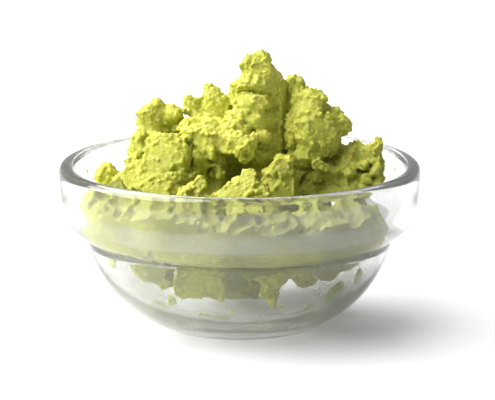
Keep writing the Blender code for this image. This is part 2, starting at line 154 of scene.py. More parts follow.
class Shader:
    """The nodes of a material or of a world, being built."""

    def __init__(self, owner: bpy.types.Material | bpy.types.World) -> None:
        """Starts with no nodes but the coordinates.

        Args:
            owner: A material, patterned on its object's own coordinates, or a world, on direction.
        """
        self.owner = owner
        owner.use_nodes = True
        self.tree = owner.node_tree
        self.tree.nodes.clear()
        self.is_world = isinstance(owner, bpy.types.World)
        source = "Generated" if self.is_world else "Object"
        self.coordinates = self.node("ShaderNodeTexCoord", {}, {}, output=source)

    def node(self, kind: str, settings: dict, inputs: dict, output: Any = 0) -> Value:
        """Adds a node.

        Args:
            kind: The node's type.
            settings: Its properties, set first.
            inputs: Values or links for its sockets, by name or number.
            output: Which output to return.

        Returns:
            The chosen output.
        """
        made = self.tree.nodes.new(kind)
        for key, value in settings.items():
            setattr(made, key, value)
        for key, value in inputs.items():
            if isinstance(value, Value):
                self.tree.links.new(value.socket, made.inputs[key])
            else:
                made.inputs[key].default_value = value
        return Value(self, made.outputs[output])

    def along(self, axis: str) -> Value:
        """How far a place is along the X, Y or Z axis, in metres."""
        return self.node("ShaderNodeSeparateXYZ", {}, {"Vector": self.coordinates}, output=axis)

    def noise(
        self, size: float, detail: float = 3.0, rough: float = 0.55, stretch: Place | None = None,
    ) -> Value:
        """Cloudy noise.

        Args:
            size: The size of its clouds, in metres.
            detail: How many finer octaves it has.
            rough: How strong the finer octaves are.
            stretch: How much longer it is along each axis, if it isn't even.

        Returns:
            The noise, about 0.5 on the mean.
        """
        place = self.coordinates
        if stretch is not None:
            scale = tuple(1.0 / s for s in stretch)
            place = self.node("ShaderNodeMapping", {}, {"Vector": place, "Scale": scale})
        inputs = {"Vector": place, "Scale": 1.0 / size, "Detail": detail, "Roughness": rough}
        return self.node("ShaderNodeTexNoise", {}, inputs)

    def cells(self, size: float) -> Value:
        """The distance to the nearest of scattered points.

        Args:
            size: How far apart the points are, in metres.

        Returns:
            The distance, 0 at a point and about 0.6 between points.
        """
        inputs = {"Vector": self.coordinates, "Scale": 1.0 / size}
        return self.node("ShaderNodeTexVoronoi", {"feature": "F1"}, inputs)

    def mix(self, share: Any, first: Any, second: Any) -> Value:
        """Mixes two colours.

        Args:
            share: How much of the second.
            first: A colour.
            second: Another colour.

        Returns:
            The mixed colour.
        """
        made = self.tree.nodes.new("ShaderNodeMix")
        made.data_type = "RGBA"
        for socket, value in ((made.inputs[0], share), (made.inputs[6], first), (made.inputs[7], second)):
            if isinstance(value, Value):
                self.tree.links.new(value.socket, socket)
            else:
                socket.default_value = value
        return Value(self, made.outputs[2])

    def bump(self, height: Value, distance: float, strength: float = 1.0) -> Value:
        """A bumped normal.

        Args:
            height: The height field, from 0 to 1.
            distance: How high 1 is, in metres.
            strength: How much of it shows.

        Returns:
            The normal.
        """
        inputs = {"Strength": strength, "Distance": distance, "Height": height}
        return self.node("ShaderNodeBump", {}, inputs)

    def toward(self, direction: Vector) -> Value:
        """How far the world's direction turns toward another: 1 straight at it, -1 straight away."""
        inputs = {0: self.coordinates, 1: tuple(direction.normalized())}
        return self.node("ShaderNodeVectorMath", {"operation": "DOT_PRODUCT"}, inputs, output="Value")

    def finish(self, surface: Value) -> bpy.types.Material | bpy.types.World:
        """Joins the surface to the output.

        Args:
            surface: The finished shader.

        Returns:
            The material or the world.
        """
        kind = "ShaderNodeOutputWorld" if self.is_world else "ShaderNodeOutputMaterial"
        out = self.tree.nodes.new(kind)
        self.tree.links.new(surface.socket, out.inputs["Surface"])
        return self.owner


# Finishes ------------------------------------------------------------------------------------

@dataclass(frozen=True)
class PasteFinish:
    """Moist crumbly wasabi paste: yellow-green, paler on its raised grains and browner in its hollows, with
    painted shade low in the heap and on its right.
    """

    name: str = "wasabi_paste"
    fresh: Colour = (0.58, 0.585, 0.080, 1.0)
    deep: Colour = (0.46, 0.48, 0.055, 1.0)
    tan: Colour = (0.58, 0.49, 0.17, 1.0)
    pale: Colour = (0.82, 0.82, 0.28, 1.0)
    dull: Colour = (0.36, 0.38, 0.04, 1.0)
    # Painted shade colour, mixed in low in the heap and on its right side.
    painted_shade: Colour = (0.19, 0.205, 0.02, 1.0)
    shade: Colour = (0.05, 0.055, 0.008, 1.0)
    roughness: float = 0.52
    depth: float = 1.1 * MM
    patch_size: float = 9 * MM
    blotch_size: float = 5 * MM
    fleck_size: float = 1.5 * MM
    grain_size: float = 0.9 * MM
    fine_size: float = 0.38 * MM
    relief: float = 0.17 * MM
    blot_size: float = 11 * MM
    # Painted shade: its least share, and the radius past which and height below which it falls on the paste,
    # in millimetres; 0 leaves it out.
    pressed: float = 0.0
    outside: Point = (22.0, 29.0)
    under: Point = (24.0, 28.0)
    # Painted shade: its shares, and the low band and the right side where it falls, in millimetres.
    low_shade: float = 0.42
    right_shade: float = 0.20
    low_start: Point = (26.0, 33.0)
    low_end: Point = (36.0, 44.0)
    left_end: Point = (-22.0, -12.0)
    right_start: Point = (6.0, 18.0)

    def build(self) -> bpy.types.Material:
        """Makes the material.

        Returns:
            The paste material.
        """
        s = Shader(bpy.data.materials.new(self.name))
        patches = s.noise(self.patch_size, detail=2.0)
        grain = s.noise(self.grain_size, detail=4.0, rough=0.65)
        fine = s.noise(self.fine_size, detail=3.0, rough=0.7)
        flecks = s.cells(self.fleck_size)
        blotches = s.noise(self.blotch_size, detail=3.0)
        colour = s.mix(patches.ramp(0.38, 0.66), self.deep, self.fresh)
        colour = s.mix(grain.ramp(0.50, 0.70) * 0.65, colour, self.pale)
        colour = s.mix((1 - grain.ramp(0.30, 0.46)) * 0.5, colour, self.dull)
        colour = s.mix(blotches.ramp(0.58, 0.72) * 0.3, colour, self.tan)
        colour = s.mix((1 - flecks.ramp(0.12, 0.22)) * 0.3, colour, self.tan)
        # Painted shade: darker low in the heap and on its right side, where the lumps lie in shade.
        colour = s.mix(self._painted_shade_share(s), colour, self.painted_shade)
        # Painted shade on paste against the glass and low in the bowl, for the core and the back chunk.
        if self.pressed > 0:
            colour = self._shaded(s, colour)
        inputs = {
            "Base Color": colour,
            "Roughness": (grain * 0.35 + (self.roughness - 0.12)).clamped(),
            "IOR": 1.42,
            "Specular IOR Level": 0.42,
            "Subsurface Weight": 0.45,
            "Subsurface Radius": (1.0, 0.85, 0.25),
            "Subsurface Scale": self.depth,
            "Normal": s.bump(grain * 0.6 + fine * 0.4, self.relief),
        }
        return s.finish(s.node("ShaderNodeBsdfPrincipled", {}, inputs))

    def _painted_shade_share(self, s: Shader) -> Value:
        """How much painted shade the paste gets: more low in the heap and on its right, where lumps lie in
        shade.

        Args:
            s: The material.

        Returns:
            The share of the moist colour.
        """
        across, height = s.along("X"), s.along("Z")
        low = height.zone(self.low_start) * (1 - height.zone(self.low_end)) * across.zone(self.left_end)
        return low * self.low_shade + across.zone(self.right_start) * self.right_shade

    def _shaded(self, s: Shader, colour: Value) -> Value:
        """Paints shade on the paste that is pressed on the glass or lies low, in blots: it lies in shade
        behind the glass band and the front chunks.

        Args:
            s: The material.
            colour: The paste's colour.

        Returns:
            The darker colour.
        """
        x, y = s.along("X"), s.along("Y")
        out = ((x * x + y * y) ** 0.5).zone(self.outside)
        low = 1 - s.along("Z").zone(self.under)
        blots = s.noise(self.blot_size, detail=2.0, rough=0.4).ramp(0.40, 0.62) * 0.26 + self.pressed
        return s.mix((out + low).clamped() * blots, colour, self.shade)


@dataclass(frozen=True)
class SmearFinish:
    """Paste wiped thin on the glass: smoother, wetter and more yellow where light comes through."""

    name: str = "smeared_paste"
    thick: Colour = (0.30, 0.42, 0.03, 1.0)
    thin: Colour = (0.48, 0.60, 0.05, 1.0)

    def build(self) -> bpy.types.Material:
        """Makes the material.

        Returns:
            The smear material.
        """
        s = Shader(bpy.data.materials.new(self.name))
        grain = s.noise(0.6 * MM, detail=3.0)
        inputs = {
            "Base Color": s.mix(grain.ramp(0.35, 0.65), self.thick, self.thin),
            "Roughness": (grain * 0.3 + 0.25).clamped(),
            "Subsurface Weight": 0.5,
            "Subsurface Radius": (1.0, 0.9, 0.25),
            "Subsurface Scale": 0.8 * MM,
            "Normal": s.bump(grain, 0.12 * MM, 0.8),
        }
        return s.finish(s.node("ShaderNodeBsdfPrincipled", {}, inputs))


@dataclass(frozen=True)
class GlassFinish:
    """Clear pressed glass. Where it is filmed, a milky wipe of paste lies on it. Zones are in millimetres."""

    name: str = "clear_glass"
    tint: Colour = (0.915, 0.92, 0.915, 1.0)
    film: float = 0.0
    band_film: float = 0.50
    low_film: float = 0.28
    high_film: float = 0.04
    side_film: float = 0.18
    clear_ends: float = 0.75
    band_start: Point = (26.0, 27.8)
    band_end: Point = (29.6, 32.4)
    low_end: Point = (6.0, 13.0)
    side_start: Point = (13.0, 20.0)
    side_top: Point = (20.0, 26.0)
    high_start: Point = (30.0, 32.0)
    ends_start: Point = (24.0, 36.0)
    film_colour: Colour = (0.74, 0.745, 0.72, 1.0)
    stain: Colour = (0.52, 0.56, 0.32, 1.0)
    shade: Colour = (0.95, 0.955, 0.95, 1.0)

    def build(self) -> bpy.types.Material:
        """Makes the material. Lamps shine through it without caustics.

        Returns:
            The glass material.
        """
        s = Shader(bpy.data.materials.new(self.name))
        inputs = {
            "Base Color": self.tint,
            "Roughness": 0.0,
            "IOR": 1.5,
            "Transmission Weight": 1.0,
        }
        surface = s.node("ShaderNodeBsdfPrincipled", {}, inputs)
        if self.film > 0:
            surface = self._filmed(s, surface)
        lamp = s.node("ShaderNodeLightPath", {}, {}, output="Is Shadow Ray")
        through = s.node("ShaderNodeBsdfTransparent", {}, {"Color": self.shade})
        return s.finish(s.node("ShaderNodeMixShader", {}, {0: lamp, 1: surface, 2: through}))

    def _filmed(self, s: Shader, glass: Value) -> Value:
        """Lays the film over the glass: cloudy, with sideways wipes and small spots.

        Args:
            s: The material.
            glass: The clear surface.

        Returns:
            The surface with its film.
        """
        across, height = s.along("X"), s.along("Z")
        aside = (across * across) ** 0.5
        clouds = s.noise(9 * MM, detail=5.0, rough=0.6)
        wipes = s.noise(5 * MM, detail=4.0, stretch=(1.6, 1.6, 0.8))
        specks = s.noise(0.7 * MM, detail=2.0)
        uneven = clouds.ramp(0.25, 0.75) * 0.5 + wipes.ramp(0.35, 0.75) * 0.3
        uneven = uneven + specks.ramp(0.60, 0.72) * 0.3
        band = height.zone(self.band_start) * (1 - height.zone(self.band_end))
        low = 1 - height.zone(self.low_end)
        sides = aside.zone(self.side_start) * (1 - height.zone(self.side_top))
        cover = (uneven + 0.2) * self.film + band * self.band_film + low * self.low_film
        cover = cover + sides * self.side_film + height.zone(self.high_start) * self.high_film
        cover = cover * (1 - aside.zone(self.ends_start) * self.clear_ends)
        tint = s.mix(s.noise(14 * MM, detail=2.0).ramp(0.45, 0.65) * 0.4, self.film_colour, self.stain)
        lit = s.node("ShaderNodeBsdfTranslucent", {}, {"Color": tint})
        matt = s.node("ShaderNodeBsdfDiffuse", {}, {"Color": tint})
        film = s.node("ShaderNodeMixShader", {}, {0: 0.5, 1: matt, 2: lit})
        return s.node("ShaderNodeMixShader", {}, {0: cover.clamped(), 1: glass, 2: film})


@dataclass(frozen=True)
class FloorFinish:
    """Plain matt white floor, lit a little from below as a light table is."""

    name: str = "pale_floor"
    colour: Colour = (0.56, 0.56, 0.56, 1.0)
    glow: float = 0.14

    def build(self) -> bpy.types.Material:
        """Makes the material.

        Returns:
            The floor material.
        """
        s = Shader(bpy.data.materials.new(self.name))
        inputs = {
            "Base Color": self.colour,
            "Roughness": 0.8,
            "Emission Color": (1.0, 1.0, 1.0, 1.0),
            "Emission Strength": self.glow,
        }
        return s.finish(s.node("ShaderNodeBsdfPrincipled", {}, inputs))


# Pieces --------------------------------------------------------------------------------------

def new_piece(
    name: str, bm: bmesh.types.BMesh, materials: Sequence[bpy.types.Material],
) -> bpy.types.Object:
    """Makes a finished piece at the origin, smooth shaded and riding on the root body.

    Args:
        name: The piece's name.
        bm: Its mesh in metres, freed here.
        materials: Its materials.

    Returns:
        The piece.
    """
    mesh = bpy.data.meshes.new(name)
    bm.to_mesh(mesh)
    bm.free()
    for material in materials:
        mesh.materials.append(material)
    mesh.shade_smooth()
    piece = bpy.data.objects.new(name, mesh)
    bpy.context.scene.collection.objects.link(piece)
    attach(piece, ROOT)
    return piece


def applied(piece: bpy.types.Object) -> None:
    """Applies the piece's modifiers to its mesh."""
    graph = bpy.context.evaluated_depsgraph_get()
    mesh = bpy.data.meshes.new_from_object(piece.evaluated_get(graph), depsgraph=graph)
    piece.modifiers.clear()
    old = piece.data
    piece.data = mesh
    mesh.name = piece.name
    bpy.data.meshes.remove(old)


def add_balls(bm: bmesh.types.BMesh, matrices: Sequence[Matrix], batch: int = 60) -> None:
    """Adds many small balls to a mesh, a batch at a time, because each one added to a big mesh is slow.

    Args:
        bm: The mesh.
        matrices: What turns a unit ball into each ball.
        batch: How many are made together.
    """
    for first in range(0, len(matrices), batch):
        few = bmesh.new()
        for matrix in matrices[first:first + batch]:
            bmesh.ops.create_icosphere(few, subdivisions=1, radius=1.0, matrix=matrix)
        mesh = bpy.data.meshes.new("balls")
        few.to_mesh(mesh)
        few.free()
        bm.from_mesh(mesh)
        bpy.data.meshes.remove(mesh)


@dataclass
class Bowl:
    """The pressed glass bowl, spun about Z. Lengths are in millimetres."""

    clear: bpy.types.Material
    filmed: bpy.types.Material
    sides: int = 192
    lip_radius: float = 1.9
    band_foot: Point = (44.5, 31.0)
    band_pull: Point = (44.2, 25.8)
    step: Point = (38.4, 22.4)
    undercut: float = 0.3
    body_pull: Point = (34.5, 6.6)
    heel: Point = (20.4, 0.3)
    foot: tuple[float, float, float] = (19.6, 17.2, 0.5)
    wall_top: Point = (41.2, 36.4)
    wall_shoulder: Point = (41.2, 26.6)
    wall_waist: Point = (36.1, 21.6)
    wall_pull: Point = (32.7, 7.9)
    floor_edge: Point = (18.2, 2.9)
    floor_height: float = 2.7
    floor_blend: float = 1.5
    flat_floor: float = 12.0
    foot_slope: float = 1.2
    foot_round: float = 0.5

    def __post_init__(self) -> None:
        """Takes the rim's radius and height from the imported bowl."""
        low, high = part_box("glass_bowl")
        self.rim_radius = high.x / MM
        self.height = high.z / MM

    @staticmethod
    def bend(start: Point, pull: Point, end: Point, steps: int) -> list[Point]:
        """A smooth curve from start to end, drawn towards pull.

        Args:
            start: Where it starts; left out of the result.
            pull: What it leans towards.
            end: Where it ends.
            steps: How many points it gets.

        Returns:
            Its points as radius and height.
        """
        points = []
        for i in range(1, steps + 1):
            t = i / steps
            u = 1.0 - t
            corners = zip(start, pull, end)
            points.append(tuple(u * u * a + 2 * u * t * b + t * t * c for a, b, c in corners))
        return points

    def outer(self) -> list[Point]:
        """The outside's outline, from the middle of the foot to the inner edge of the lip."""
        outer, inner, recess = self.foot
        centre = (self.rim_radius - self.lip_radius, self.height - self.lip_radius)
        under_step = (self.step[0] - self.undercut, self.step[1] - 2 * self.undercut)
        points = [(0.0, recess), (inner - self.foot_slope, recess)]
        points += [(inner - self.foot_round, recess * 0.8), (inner, 0.0), (outer, 0.0)]
        points += self.bend((outer, 0.0), (outer + self.foot_round, 0.0), self.heel, 3)
        points += self.bend(self.heel, self.body_pull, under_step, 28)
        points += self.bend(under_step, (under_step[0], self.step[1]), self.step, 4)
        points += self.bend(self.step, self.band_pull, self.band_foot, 16)
        for angle in (math.radians(d) for d in range(0, 181, 12)):
            out, up = self.lip_radius * math.cos(angle), self.lip_radius * math.sin(angle)
            points.append((centre[0] + out, centre[1] + up))
        return points

    def inner(self) -> list[Point]:
        """The inside's outline, from the top of the wall to the middle of the floor."""
        points = [self.wall_top]
        points += self.bend(self.wall_top, self.wall_shoulder, self.wall_waist, 14)
        points += self.bend(self.wall_waist, self.wall_pull, self.floor_edge, 22)
        corner = (self.floor_edge[0] - self.floor_blend, self.floor_height)
        points += self.bend(self.floor_edge, corner, (self.flat_floor, self.floor_height), 4)
        return points + [(0.0, self.floor_height)]

    def wall(self, height: float) -> float:
        """The inside radius at a height, in millimetres."""
        outline = [(z, r) for r, z in self.inner()]
        for (z1, r1), (z0, r0) in zip(outline, outline[1:]):
            if z0 <= height <= z1 and z1 > z0:
                return r0 + (r1 - r0) * (height - z0) / (z1 - z0)
        return self.wall_top[0]

    def build(self) -> bpy.types.Object:
        """Spins the bowl.

        Returns:
            The bowl, filmed on its inside.
        """
        bm = bmesh.new()
        outline = self.outer() + self.inner()
        verts = [bm.verts.new((r * MM, 0.0, z * MM)) for r, z in outline]
        edges = [bm.edges.new(pair) for pair in zip(verts, verts[1:])]
        bmesh.ops.spin(
            bm, geom=verts + edges, cent=(0, 0, 0), axis=(0, 0, 1), angle=math.tau,
            steps=self.sides, use_merge=True,
        )
        bmesh.ops.remove_doubles(bm, verts=bm.verts, dist=0.01 * MM)
        bmesh.ops.recalc_face_normals(bm, faces=bm.faces)
        for face in bm.faces:
            face.material_index = 1 if self._is_inside(face) else 0
        bowl = new_piece("bowl_glass", bm, (self.clear, self.filmed))
        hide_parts("glass_bowl")
        return bowl

    def _is_inside(self, face: bmesh.types.BMFace) -> bool:
        """True if the face is on the inside below the lip."""
        middle = face.calc_center_median()
        radius = math.hypot(middle.x, middle.y)
        inward = middle.x * face.normal.x + middle.y * face.normal.y < 0.0
        on_floor = face.normal.z > 0.7 and radius < self.floor_edge[0] * MM
        below_lip = middle.z < (self.height - 2.2 * self.lip_radius) * MM
        return below_lip and (inward or on_floor)


@dataclass(frozen=True)
class Nodule:
    """A rounded lump pressed onto a bigger one. Lengths are in millimetres."""

    centre: Place
    half: Place
    lean: float = 0.0


@dataclass(frozen=True)
class Facet:
    """A flat broken face: nothing of the lump stands beyond it."""

    point: Place
    normal: Place


@dataclass(frozen=True)
class Groove:
    """A crease or hollow from one place to another. Lengths are in millimetres."""

    start: Place
    end: Place
    width: float
    depth: float

    def depth_at(self, place: Vector) -> float:
        """How deep the groove is at a place given in metres.

        Args:
            place: The place.

        Returns:
            The depth in millimetres.
        """
        start, end = Vector(self.start) * MM, Vector(self.end) * MM
        along = min(1.0, max(0.0, (place - start).dot(end - start) / (end - start).length_squared))
        away = (place - start.lerp(end, along)).length / (self.width * MM)
        return self.depth * math.exp(-away * away)


BANK_RADIUS = 35.0
BANK_SPACING = 5
BANK_HALF = (7.0, 7.0, 6.6)
BANK_WAVE = 1.2


def bank(first: int, last: int, height: float) -> list[Nodule]:
    """Paste pressed on the glass between two bearings in degrees. Lengths are in millimetres.

    Args:
        first: The bearing that it starts at.
        last: The bearing that it ends before.
        height: The height of its middle.

    Returns:
        Its nodules, side by side.
    """
    nodules = []
    for angle in map(math.radians, range(first, last, BANK_SPACING)):
        middle = height + BANK_WAVE * math.sin(23 * angle)
        place = (BANK_RADIUS * math.cos(angle), BANK_RADIUS * math.sin(angle), middle)
        nodules.append(Nodule(place, BANK_HALF))
    return nodules


DETAILS: dict[str, tuple[Nodule | Facet | Groove, ...]] = {
    "paste_lump_peak": (
        Nodule((2.2, 0.4, 65.8), (1.7, 1.8, 1.7)),
        Facet((-0.6, 0.0, 64.6), (-0.83, 0.0, 0.55)),
        Nodule((2.6, -3.8, 57.0), (4.4, 1.8, 1.8)),
        Nodule((5.6, -4.6, 48.0), (2.0, 1.6, 1.7)),
        Nodule((-0.6, -2.6, 50.6), (3.4, 3.0, 3.6)),
        Facet((7.4, -5.0, 54.0), (0.88, -0.47, 0.05)),
        Facet((2.6, -5.6, 54.0), (-0.42, -0.90, 0.16)),
        Groove((-0.6, -4.4, 59.4), (7.6, -4.2, 59.2), 0.9, 2.0),
        Groove((3.4, -2.6, 65.0), (6.0, -2.4, 64.6), 0.8, 0.9),
        Groove((7.0, -5.0, 52.6), (5.4, -5.4, 50.4), 0.7, 0.9),
    ),
    "paste_core": (
        *bank(208, 256, 30.4),
        *bank(256, 326, 27.6),
        Nodule((-8.0, -35.6, 24.6), (2.9, 2.0, 3.0)),
        Nodule((-4.4, -35.8, 25.4), (1.6, 1.6, 2.2)),
        Nodule((2.4, -36.0, 24.2), (1.9, 1.8, 3.6)),
        Nodule((11.6, -34.6, 24.8), (2.0, 1.8, 2.8)),
        Nodule((-12.0, -7.0, 38.6), (2.2, 2.2, 2.4)),
        Nodule((-10.0, -5.6, 42.4), (2.6, 2.6, 3.2)),
        Nodule((-4.6, -5.4, 40.6), (2.7, 2.4, 3.6)),
        Nodule((-13.8, -8.6, 34.8), (2.2, 2.4, 2.2)),
        Nodule((5.6, -2.4, 42.0), (3.4, 2.6, 2.4)),
        Groove((-2.0, -5.4, 41.6), (1.4, -6.0, 38.0), 2.6, 7.0),
        Groove((14.6, -4.0, 36.6), (17.8, -5.0, 35.2), 1.6, 3.0),
        Groove((-7.4, -6.0, 42.6), (-7.2, -6.4, 37.4), 0.9, 1.6),
    ),
    "paste_lump_crest": (
        Nodule((-6.4, 2.6, 57.2), (1.7, 2.0, 1.8), lean=-40),
        Nodule((-6.2, 1.8, 54.4), (3.0, 2.4, 4.4), lean=-12),
        Nodule((-3.6, 1.6, 52.6), (1.7, 1.9, 4.0), lean=-8),
        Nodule((-11.8, 2.4, 54.0), (1.7, 1.8, 2.6)),
        Facet((-13.2, 2.0, 56.6), (-0.62, -0.20, 0.76)),
        Groove((-9.6, -0.6, 55.0), (-9.4, -0.8, 50.6), 0.8, 1.5),
        Groove((-3.0, -0.6, 56.4), (-4.6, -0.8, 51.0), 0.5, 0.8),
    ),
    "paste_lump_left_top": (
        Nodule((-20.6, 1.6, 55.0), (1.7, 1.6, 1.5)),
        Nodule((-17.2, 1.0, 52.4), (2.5, 2.4, 2.0)),
        Facet((-23.8, 2.6, 54.2), (-0.70, -0.05, 0.71)),
        Groove((-19.4, -1.0, 54.2), (-18.6, -1.6, 49.6), 0.7, 0.9),
    ),
    "paste_lump_left": (
        Nodule((-24.6, -4.4, 44.0), (2.6, 3.2, 5.0)),
        Nodule((-18.0, -8.6, 42.4), (5.6, 3.0, 5.4)),
        Nodule((-27.4, -10.4, 37.6), (3.4, 3.2, 3.4)),
        Nodule((-21.6, -12.4, 36.2), (4.6, 3.4, 3.6)),
        Nodule((-13.4, -8.8, 43.4), (1.4, 1.6, 3.4)),
        Facet((-18.4, -10.9, 42.0), (-0.30, -0.90, 0.32)),
        Groove((-24.6, -7.6, 47.0), (-22.4, -8.8, 46.4), 0.5, 0.9),
    ),
    "paste_lump_far_left": (
        Facet((-35.0, -5.0, 39.4), (-0.76, -0.20, 0.62)),
        Nodule((-29.8, -8.0, 36.0), (2.2, 2.0, 1.9)),
    ),
    "paste_lump_shelf": (
        Nodule((-8.4, -1.4, 50.4), (6.2, 3.6, 2.0)),
        Nodule((-1.4, -3.6, 49.6), (4.4, 3.2, 3.4)),
        Nodule((-9.6, -6.2, 45.4), (1.0, 1.1, 1.5)),
        Nodule((-6.6, -8.0, 43.6), (1.0, 1.0, 1.3)),
        Nodule((-12.8, -5.0, 47.6), (2.0, 1.6, 1.0)),
        Nodule((3.2, -8.2, 47.0), (1.4, 1.4, 2.2)),
        Facet((-6.0, -8.6, 48.0), (-0.18, -0.86, 0.48)),
        Groove((-5.6, -8.4, 46.6), (-5.4, -8.0, 44.4), 0.6, 1.4),
    ),
    "paste_lump_right": (
        Groove((20.4, -4.6, 51.6), (22.2, -4.4, 47.8), 0.5, 1.2),
        Nodule((22.8, -3.6, 48.8), (1.2, 1.4, 1.5)),
        Nodule((19.2, -6.0, 41.2), (1.6, 1.5, 1.3)),
        Nodule((21.0, -5.6, 40.2), (1.1, 1.2, 1.0)),
        Nodule((12.8, 0.0, 47.6), (1.6, 2.6, 5.0)),
        Nodule((12.6, 5.8, 53.0), (3.0, 3.0, 5.6)),
        Facet((17.0, -5.2, 49.0), (0.36, -0.91, 0.20)),
    ),
    "paste_lump_far_right": (
        Nodule((30.6, -2.4, 40.2), (1.6, 1.5, 1.5)),
        Nodule((33.6, -2.8, 38.6), (1.5, 1.5, 1.6)),
        Nodule((31.4, -3.8, 36.8), (1.5, 1.5, 1.4)),
        Nodule((33.8, -3.6, 35.2), (1.5, 1.5, 1.5)),
        Nodule((27.4, -3.4, 38.4), (1.4, 1.4, 1.4)),
        Groove((29.4, -3.6, 40.6), (29.0, -5.4, 35.6), 0.8, 1.3),
    ),
    "paste_slab_front": (
        Facet((10.8, -12.4, 39.0), (-0.10, -0.98, 0.14)),
        Facet((13.4, -10.0, 39.0), (0.97, -0.20, 0.10)),
    ),
    "paste_lump_front": (
        Facet((1.0, -23.4, 36.0), (-0.16, -0.80, 0.58)),
        Nodule((6.4, -21.4, 36.2), (1.3, 1.3, 1.2)),
    ),
    "paste_chunk_front_left": (
        Facet((-9.0, -24.4, 17.0), (-0.16, -0.98, 0.10)),
        Facet((-3.0, -20.0, 17.0), (0.97, -0.20, -0.14)),
        Facet((-9.0, -23.6, 11.8), (-0.10, -0.72, -0.68)),
    ),
    "paste_chunk_front_right": (
        Facet((7.6, -23.6, 17.0), (-0.25, -0.95, 0.10)),
        Facet((10.6, -21.6, 15.0), (0.80, -0.56, -0.20)),
    ),
    "paste_lump_front_left": (
        Facet((-12.0, -21.6, 35.6), (-0.34, -0.78, 0.52)),
        Facet((-7.4, -18.6, 37.0), (0.96, -0.16, 0.24)),
    ),
}


class Grain(Enum):
    """The side of the cells that a lump is fused from, in millimetres."""

    FINE = 0.27
    MEDIUM = 0.42
    COARSE = 0.60


